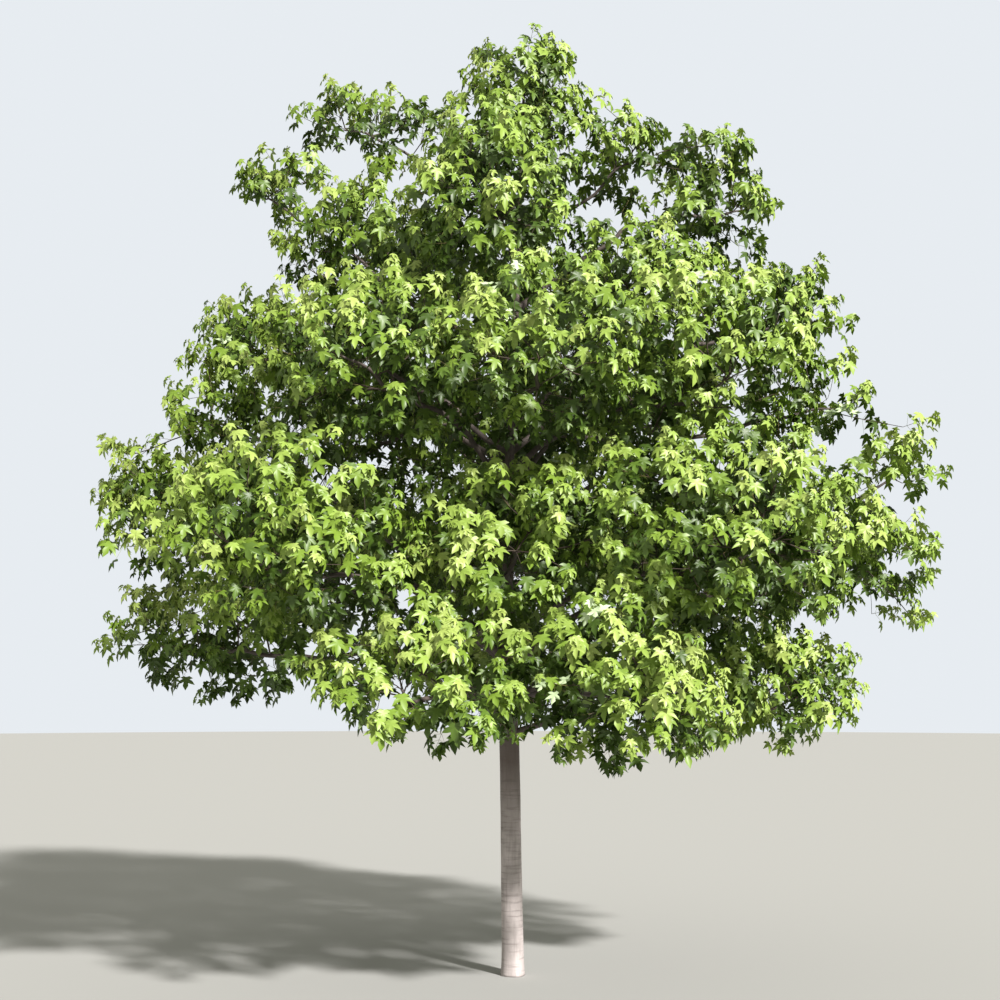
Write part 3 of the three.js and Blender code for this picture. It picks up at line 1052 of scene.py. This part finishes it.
def grain_group():
    """The bark's grain: cloudy mottling, level rings and upright streaks, as masks and a height, and a
    mask of height for the painted shade under the crown.
    """
    name = "Bark Grain"
    if name in bpy.data.node_groups:
        return bpy.data.node_groups[name]
    group = bpy.data.node_groups.new(name, "ShaderNodeTree")
    face = group.interface
    for label, value in (("Mottle Scale", 9.0), ("Ring Scale", 60.0), ("Streak Scale", 70.0)):
        socket = face.new_socket(name=label, in_out="INPUT", socket_type="NodeSocketFloat")
        socket.default_value = value
    for label in ("Mottle", "Rings", "Streaks", "Crown Shade Mask", "Height"):
        face.new_socket(name=label, in_out="OUTPUT", socket_type="NodeSocketFloat")
    nodes, links = group.nodes, group.links
    inputs = nodes.new("NodeGroupInput")
    outputs = nodes.new("NodeGroupOutput")
    place = nodes.new("ShaderNodeTexCoord")

    def noise(stretch, scale, detail, rough):
        mapping = nodes.new("ShaderNodeMapping")
        mapping.inputs["Scale"].default_value = stretch
        texture = nodes.new("ShaderNodeTexNoise")
        texture.inputs["Detail"].default_value = detail
        texture.inputs["Roughness"].default_value = rough
        links.new(place.outputs["Object"], mapping.inputs["Vector"])
        links.new(mapping.outputs["Vector"], texture.inputs["Vector"])
        links.new(inputs.outputs[scale], texture.inputs["Scale"])
        return texture.outputs["Fac"]

    mottle = noise((1, 1, 0.55), "Mottle Scale", 4, 0.6)
    rings = noise((0.09, 0.09, 1), "Ring Scale", 3, 0.55)
    streaks = noise((1, 1, 0.07), "Streak Scale", 3, 0.6)

    def masked(source, low, high):
        ramp = nodes.new("ShaderNodeMapRange")
        ramp.inputs["From Min"].default_value = low
        ramp.inputs["From Max"].default_value = high
        links.new(source, ramp.inputs["Value"])
        return ramp.outputs["Result"]

    mottle_mask = masked(mottle, 0.34, 0.66)
    ring_mask = masked(rings, 0.52, 0.70)
    streak_mask = masked(streaks, 0.50, 0.72)
    links.new(mottle_mask, outputs.inputs["Mottle"])
    links.new(ring_mask, outputs.inputs["Rings"])
    links.new(streak_mask, outputs.inputs["Streaks"])
    # A mask that grows from 0.85 m to 1.4 m above the ground, used to paint the crown's shade onto the
    # bark.
    parts = nodes.new("ShaderNodeSeparateXYZ")
    links.new(place.outputs["Object"], parts.inputs["Vector"])
    links.new(masked(parts.outputs["Z"], 0.85, 1.4), outputs.inputs["Crown Shade Mask"])
    add = nodes.new("ShaderNodeMath")
    add.operation = "MULTIPLY_ADD"
    add.inputs[1].default_value = 0.6
    links.new(ring_mask, add.inputs[0])
    links.new(streaks, add.inputs[2])
    links.new(add.outputs[0], outputs.inputs["Height"])
    return group


def bark_material(name, settings, mottle, rings, streaks, shade):
    """Smooth grey bark with paler patches, fine dark rings and faint streaks, with painted shade: darker
    from 0.85 m up, and dimmed all over by shade.
    """
    material, tree, shader = new_material(name)
    nodes, links = tree.nodes, tree.links
    grain = nodes.new("ShaderNodeGroup")
    grain.node_tree = grain_group()
    grain.inputs["Mottle Scale"].default_value = mottle
    grain.inputs["Ring Scale"].default_value = rings
    grain.inputs["Streak Scale"].default_value = streaks

    def mixed(mask, amount, first, second):
        scale = nodes.new("ShaderNodeMath")
        scale.operation = "MULTIPLY"
        scale.inputs[1].default_value = amount
        links.new(grain.outputs[mask], scale.inputs[0])
        mix = nodes.new("ShaderNodeMix")
        mix.data_type = "RGBA"
        links.new(scale.outputs[0], mix.inputs["Factor"])
        if isinstance(first, tuple):
            mix.inputs["A"].default_value = first
        else:
            links.new(first, mix.inputs["A"])
        mix.inputs["B"].default_value = second
        return mix.outputs["Result"]

    # shade dims every colour of the bark; below 1 it is a painted shade, as on the boughs.
    def shaded(colour):
        return (*(channel * shade for channel in colour), 1.0)

    base = mixed("Mottle", 1.0, shaded(settings.grey), shaded(settings.pale))
    ringed = mixed("Rings", 0.42, base, shaded(settings.dark))
    streaked = mixed("Streaks", 0.30, ringed, shaded(settings.dark))
    # The painted crown shade: from 0.85 m up the bark darkens towards the crown shade colour, standing
    # for the crown's shadow.
    crown_shaded = mixed("Crown Shade Mask", 0.88, streaked, shaded(settings.upper))
    links.new(crown_shaded, shader.inputs["Base Color"])
    roughness = nodes.new("ShaderNodeMapRange")
    roughness.inputs["To Min"].default_value = 0.62
    roughness.inputs["To Max"].default_value = 0.86
    links.new(grain.outputs["Streaks"], roughness.inputs["Value"])
    links.new(roughness.outputs["Result"], shader.inputs["Roughness"])
    bump = nodes.new("ShaderNodeBump")
    bump.inputs["Strength"].default_value = 0.35
    bump.inputs["Distance"].default_value = 0.003
    links.new(grain.outputs["Height"], bump.inputs["Height"])
    links.new(bump.outputs["Normal"], shader.inputs["Normal"])
    shader.inputs["Specular IOR Level"].default_value = 0.3
    return material


def plain_material(name, colour, roughness, specular=0.5):
    """One even colour and gloss."""
    material, _, shader = new_material(name)
    shader.inputs["Base Color"].default_value = (*colour, 1.0)
    shader.inputs["Roughness"].default_value = roughness
    shader.inputs["Specular IOR Level"].default_value = specular
    return material


# ---------------------------------------------------------------- the pieces


class MAPLE_OT_trunk(bpy.types.Operator):
    """Makes the trunk's bark, with its root flare, swellings and rings"""

    bl_idname = "maple.trunk"
    bl_label = "Trunk Bark"

    def execute(self, context):
        settings = context.scene.maple_bark
        tree = skeleton()
        rng = np.random.default_rng(TRUNK_SEED)
        middles, radii = tree.leader
        stem = np.arange(0, STEM_TOP, settings.ring_step)
        upper = np.arange(STEM_TOP, middles[-1, 2] - 0.005, UPPER_STEP)
        heights = np.concatenate((stem, upper, middles[-1:, 2]))
        line = axis_at(tree.leader, heights)
        sizes = np.interp(heights, middles[:, 2], radii)
        turn = np.arange(settings.trunk_sides) * FULL_TURN / settings.trunk_sides
        share = np.clip(sizes / sizes[0], 0.08, 1)[:, None]
        swell = waves(rng, turn, heights, 9, (1, 4), (-6, 6))
        fine = waves(rng, turn, heights, 12, (6, 14), (-9, 9))
        rings = ring_marks(rng, heights, turn, 0.035, 0.006)
        ribs = np.cos(5 * turn + 0.6)[None] + 0.5 * np.cos(3 * turn + 2.0)[None]
        flare = np.exp(-heights / RIB_HEIGHT)[:, None]
        relief = settings.relief * (0.9 * swell + 0.22 * fine + 0.45 * rings) * share
        relief = relief + RIB_RELIEF * ribs * flare
        tubes = Tubes()
        tubes.add(line, sizes, settings.trunk_sides, relief)
        tubes.floor_cap(settings.trunk_sides)
        material = bark_material("Trunk Bark", settings, 8.0, 75.0, 55.0, 1.0)
        piece = tubes.piece("trunk_bark", material)
        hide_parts(TRUNK_NODE)
        return {"FINISHED"}


class MAPLE_OT_boughs(bpy.types.Operator):
    """Makes the boughs' bark, each swelling into a collar where it leaves the trunk"""

    bl_idname = "maple.boughs"
    bl_label = "Bough Bark"

    def execute(self, context):
        settings = context.scene.maple_bark
        tree = skeleton()
        rng = np.random.default_rng(BOUGH_SEED)
        tubes = Tubes()
        for number, (rough_line, rough_radii) in enumerate(tree.limbs):
            line, places = curve_through(rough_line, settings.bough_step)
            radii = np.interp(places, range(len(rough_radii)), rough_radii)
            run = run_along(line)
            radii = radii * (1 + COLLAR_SWELL * np.exp(-((run / COLLAR_LENGTH) ** 2)))
            main = number < tree.bough_count
            sides = settings.bough_sides if main else SIDE_LIMB_SIDES
            turn = np.arange(sides) * FULL_TURN / sides
            relief = settings.relief * 0.55 * waves(rng, turn, run, 7, (1, 4), (-14, 14))
            relief = relief + settings.relief * 0.3 * ring_marks(rng, run, turn, 0.05, 0.02)
            relief = relief * np.clip(radii / 0.02, 0.05, 1)[:, None]
            tubes.add(line, radii, sides, relief)
        # The boughs' bark is the trunk's at 0.7 of its brightness, a painted shade.
        material = bark_material("Bough Bark", settings, 10.0, 40.0, 60.0, 0.7)
        piece = tubes.piece("bough_bark", material)
        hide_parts(*BOUGH_NODES)
        return {"FINISHED"}


class MAPLE_OT_branches(bpy.types.Operator):
    """Makes the branches that fork from the limbs and the shoots that carry the leaves"""

    bl_idname = "maple.branches"
    bl_label = "Branches and Twigs"

    def execute(self, context):
        settings = context.scene.maple_bark
        tree = skeleton()
        branches = Tubes()
        for line, radii in tree.chains():
            smooth, places = curve_through(line, BRANCH_STEP)
            sizes = np.interp(places, range(len(radii)), radii)
            sides = next(count for least, count in BRANCH_SIDES if sizes[0] > least)
            branches.add(smooth, sizes, sides)
        piece = branches.piece("branches", plain_material("Branch Bark", settings.twig, 0.75, 0.3))
        twigs = Tubes()
        for line in shoots().lines:
            twigs.add(line, np.linspace(*SHOOT_RADII, len(line)), 3)
        piece = twigs.piece("twigs", plain_material("Twig Bark", settings.shoot, 0.6, 0.4))
        return {"FINISHED"}


def leaf_shapes(rng):
    """A few blades that differ in breadth, cut and curl: points for each, and one set of faces."""
    half = np.array(LEAF_HALF)
    mirrored = half[::-1] * (-1, 1, 1)
    rim = np.vstack((LEAF_BASE, half, LEAF_TIP, mirrored))
    shapes = []
    for _ in range(LEAF_SHAPES):
        blade = np.vstack((LEAF_HUB, rim))
        blade = blade * (rng.uniform(0.94, 1.14), 1.0, rng.uniform(0.7, 1.5))
        blade = blade + rng.normal(size=blade.shape) * (0.014, 0.014, 0.012)
        reach = np.hypot(blade[:, 0], blade[:, 1] - LEAF_HUB[1])
        blade[:, 2] -= rng.uniform(0.05, 0.24) * reach ** 2
        blade[:, 0] += rng.uniform(-0.09, 0.09) * blade[:, 1] ** 2
        shapes.append(blade)
    count = len(rim)
    ring = np.arange(count)
    faces = np.stack((np.zeros(count, dtype=int), ring + 1, (ring + 1) % count + 1), axis=-1)
    return np.array(shapes), faces


def leaf_growth(grown, settings, rng):
    """Every leaf's place on its shoot, side, size, stalk, tint value and the way its shoot faces."""
    bases, sides, sizes, stalks, values, facings = [], [], [], [], [], []
    for number, line in enumerate(grown.lines):
        run = run_along(line)
        length = run[-1]
        last = max(2, int(round(length * LEAFY_SHARE / settings.pair_gap)) + 1) - 1
        ahead = unit(line[-1] - line[1])
        across = unit(np.cross(line[-1] - line[0], rng.normal(size=3)))
        vigour = rng.uniform(*VIGOUR)
        # The shoot's painted light and shade, with a random tint.
        mood = grown.light[number] + rng.normal() * SHOOT_TINTS
        pale = rng.random() < PALE_SHOOTS
        for pair in range(last + 1):
            age = (last - pair) / last
            spot = point_at(line, run, (1 - (1 - FIRST_PAIR) * (last - pair) / last) * length)
            turned = across if pair % 2 == 0 else unit(np.cross(ahead, across))
            grown_up = YOUNGEST + (1 - YOUNGEST) * min(1.0, (last - pair) / GROWING_PAIRS)
            leaves = [(turned, 1.0), (-turned, 1.0)]
            if pair == last:
                leaves.append((ahead, TIP_LEAF))
            for way, part in leaves:
                if rng.random() < MISSING:
                    continue
                spread = 0.55 + 0.25 * rng.random()
                side = unit(way + ahead * (0.35 + 0.5 * (1 - age)) + UP * spread * 0.35
                            + rng.normal(size=3) * LEAF_CHANCE)
                bases.append(spot)
                sides.append(side)
                sizes.append(vigour * grown_up * part * rng.uniform(*LEAF_SIZES))
                stalk = settings.stalk * (STALK_YOUNG + STALK_OLDER * age)
                stalks.append(stalk * vigour * rng.uniform(*STALK_SIZES))
                # A leaf's tint value: its shoot's painted light and shade, lighter for young leaves, and
                # chance.
                value = mood + YOUNG_LIGHT * (1 - age) + rng.normal() * LEAF_TINTS
                values.append(np.inf if pale and rng.random() < PALE_LEAVES else value)
                facings.append(grown.facing[number])
    return tuple(np.array(kind) for kind in (bases, sides, sizes, stalks, values, facings))


def leaf_frames(sides, facings, pale, facing, rng):
    """Each blade's directions across, along and over it; a pale one is turned underside up."""
    count = len(sides)
    level = sides * (0.8, 0.8, 0) + facings * facing
    level = unit(level + rng.normal(size=(count, 3)) * (LEAF_CHANCE, LEAF_CHANCE, 0))
    middle, spread, least, most = DROOP
    droop = np.radians(np.clip(rng.normal(middle, spread, size=count), least, most))[:, None]
    along = level * np.cos(droop) - UP * np.sin(droop)
    over = level * np.sin(droop) + UP * np.cos(droop)
    across = np.cross(along, over)
    roll = np.radians(rng.normal(size=count) * ROLL)[:, None]
    rolled = across * np.cos(roll) + over * np.sin(roll)
    over = over * np.cos(roll) - across * np.sin(roll)
    over[pale] *= -1
    rolled[pale] *= -1
    return rolled, along, over


class MAPLE_OT_leaves(bpy.types.Operator):
    """Makes the five-lobed leaves, in opposite pairs along the shoots, each on its stalk"""

    bl_idname = "maple.leaves"
    bl_label = "Leaves"

    def execute(self, context):
        settings = context.scene.maple_leaves
        rng = np.random.default_rng(settings.seed + 1)
        bases, sides, sizes, stalks, values, facings = leaf_growth(shoots(), settings, rng)
        pale = np.isinf(values)
        # The tints follow the tint values, so the darker ones carry painted shade and the lighter ones
        # painted light.
        tints = np.digitize(values, np.quantile(values[~pale], TINT_SHARES))
        tints[pale] = len(TINT_SHARES) + 1
        across, along, over = leaf_frames(sides, facings, pale, settings.facing, rng)
        hilts = bases + sides * stalks[:, None] - UP * STALK_SAG * stalks[:, None]
        shapes, faces = leaf_shapes(rng)
        kinds = rng.integers(0, LEAF_SHAPES, size=len(bases))
        blade = shapes[kinds] * (sizes * settings.length)[:, None, None]
        points = (
            hilts[:, None]
            + across[:, None] * blade[:, :, :1]
            + along[:, None] * blade[:, :, 1:2]
            + over[:, None] * blade[:, :, 2:3]
        )
        slack = (CAD_HIGH - CAD_LOW) * BOX_MARGIN + BOX_SLACK
        low, high = CAD_LOW - slack, CAD_HIGH + slack
        low[2] = LOWEST_LEAF
        fits = np.all((points > low) & (points < high), axis=(1, 2))
        points, tints, bases, hilts = points[fits], tints[fits], bases[fits], hilts[fits]
        corner_count = points.shape[1]
        for tint, shade in enumerate(TINTS):
            name, colour = "leaves_" + shade, getattr(settings, shade)
            chosen = points[tints == tint]
            offsets = np.arange(len(chosen))[:, None, None] * corner_count
            loops = (faces[None] + offsets).reshape(-1)
            starts = np.arange(len(chosen) * len(faces)) * 3
            material = plain_material(f"{shade.title()} Leaf", colour, settings.roughness, settings.gloss)
            piece = mesh_piece(name, chosen.reshape(-1, 3), loops, starts, material)
            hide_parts(*MASS_NODES)
        self.stalks(bases, hilts, settings)
        return {"FINISHED"}

    def stalks(self, bases, hilts, settings):
        """The leaf stalks: thin folded strips from shoot to blade."""
        along = unit(hilts - bases)
        across = unit(np.cross(along, UP + np.array((0.013, 0.007, 0.0))))
        over = np.cross(along, across)
        corners = []
        for end, width in zip((bases, hilts + along * 0.003), STALK_RADII):
            for turn in np.arange(3) * FULL_TURN / 3:
                corners.append(end + (across * math.cos(turn) + over * math.sin(turn)) * width)
        points = np.stack(corners, axis=1)
        faces = np.array([(0, 1, 4, 3), (1, 2, 5, 4)])
        offsets = np.arange(len(points))[:, None, None] * 6
        loops = (faces[None] + offsets).reshape(-1)
        starts = np.arange(len(points) * 2) * 4
        material = plain_material("Leaf Stalk", settings.stem, 0.5)
        piece = mesh_piece("leaf_stalks", points.reshape(-1, 3), loops, starts, material)


class MAPLE_OT_stage(bpy.types.Operator):
    """Makes the plain floor, backdrop, key light, fill light and camera"""

    bl_idname = "maple.stage"
    bl_label = "Stage"

    def execute(self, context):
        settings = context.scene.maple_stage
        scene = context.scene
        turn = np.arange(96) * FULL_TURN / 96
        rim = np.stack((np.cos(turn), np.sin(turn), np.zeros(96)), -1) * settings.floor_radius
        mesh = bpy.data.meshes.new("floor")
        mesh.from_pydata([tuple(p) for p in rim], [], [tuple(range(96))])
        mesh.materials.append(plain_material("Floor", settings.floor, 0.9, 0.1))
        floor = bpy.data.objects.new("floor", mesh)
        scene.collection.objects.link(floor)
        floor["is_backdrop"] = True

        sun = bpy.data.lights.new("key", "SUN")
        sun.energy = settings.sun_strength
        sun.angle = settings.sun_size
        sun.color = settings.sun_colour
        key = bpy.data.objects.new("key", sun)
        key.rotation_euler = Vector(settings.sun_from).to_track_quat("Z", "Y").to_euler()
        scene.collection.objects.link(key)

        world = bpy.data.worlds.new("Studio")
        world.use_nodes = True
        nodes, links = world.node_tree.nodes, world.node_tree.links
        nodes.clear()
        output = nodes.new("ShaderNodeOutputWorld")
        seen = nodes.new("ShaderNodeBackground")
        seen.inputs["Color"].default_value = (*settings.backdrop, 1)
        fill = nodes.new("ShaderNodeBackground")
        fill.inputs["Color"].default_value = (*settings.fill_colour, 1)
        fill.inputs["Strength"].default_value = settings.fill
        path = nodes.new("ShaderNodeLightPath")
        mix = nodes.new("ShaderNodeMixShader")
        links.new(path.outputs["Is Camera Ray"], mix.inputs["Fac"])
        links.new(fill.outputs[0], mix.inputs[1])
        links.new(seen.outputs[0], mix.inputs[2])
        links.new(mix.outputs[0], output.inputs["Surface"])
        scene.world = world

        lens = bpy.data.cameras.new("camera")
        lens.sensor_width = 36.0
        lens.lens = lens.sensor_width / 2 / math.tan(settings.field / 2)
        lens.clip_end = 200
        camera = bpy.data.objects.new("camera", lens)
        camera.location = settings.eye
        camera.rotation_euler = (math.pi / 2 + settings.pitch, 0, 0)
        scene.collection.objects.link(camera)
        scene.camera = camera
        scene.view_settings.view_transform = "Standard"
        return {"FINISHED"}


class MAPLE_PT_panel(bpy.types.Panel):
    """Lists the tree's pieces and their settings."""

    bl_idname = "MAPLE_PT_panel"
    bl_label = "Maple Tree"
    bl_space_type = "VIEW_3D"
    bl_region_type = "UI"
    bl_category = "Maple Tree"

    def draw(self, context):
        layout = self.layout
        for operator in OPERATORS:
            layout.operator(operator.bl_idname)
        for name in SETTINGS:
            box = layout.box()
            settings = getattr(context.scene, name)
            for label in settings.__annotations__:
                box.prop(settings, label)


SETTINGS = {
    "maple_bark": MapleBarkSettings,
    "maple_branches": MapleBranchSettings,
    "maple_leaves": MapleLeafSettings,
    "maple_stage": MapleStageSettings,
}
OPERATORS = (MAPLE_OT_stage, MAPLE_OT_trunk, MAPLE_OT_boughs, MAPLE_OT_branches, MAPLE_OT_leaves)


def register():
    """Registers the settings, operators and panel."""
    for name, group in SETTINGS.items():
        bpy.utils.register_class(group)
        setattr(bpy.types.Scene, name, PointerProperty(type=group))
    for operator in OPERATORS:
        bpy.utils.register_class(operator)
    bpy.utils.register_class(MAPLE_PT_panel)


def unregister():
    """Removes the settings, operators and panel."""
    bpy.utils.unregister_class(MAPLE_PT_panel)
    for operator in reversed(OPERATORS):
        bpy.utils.unregister_class(operator)
    for name, group in SETTINGS.items():
        delattr(bpy.types.Scene, name)
        bpy.utils.unregister_class(group)


def main():
    """Makes every piece and the stage."""
    register()
    bpy.ops.maple.stage()
    bpy.ops.maple.trunk()
    bpy.ops.maple.boughs()
    bpy.ops.maple.branches()
    bpy.ops.maple.leaves()
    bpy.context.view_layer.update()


if __name__ == "__main__":
    main()
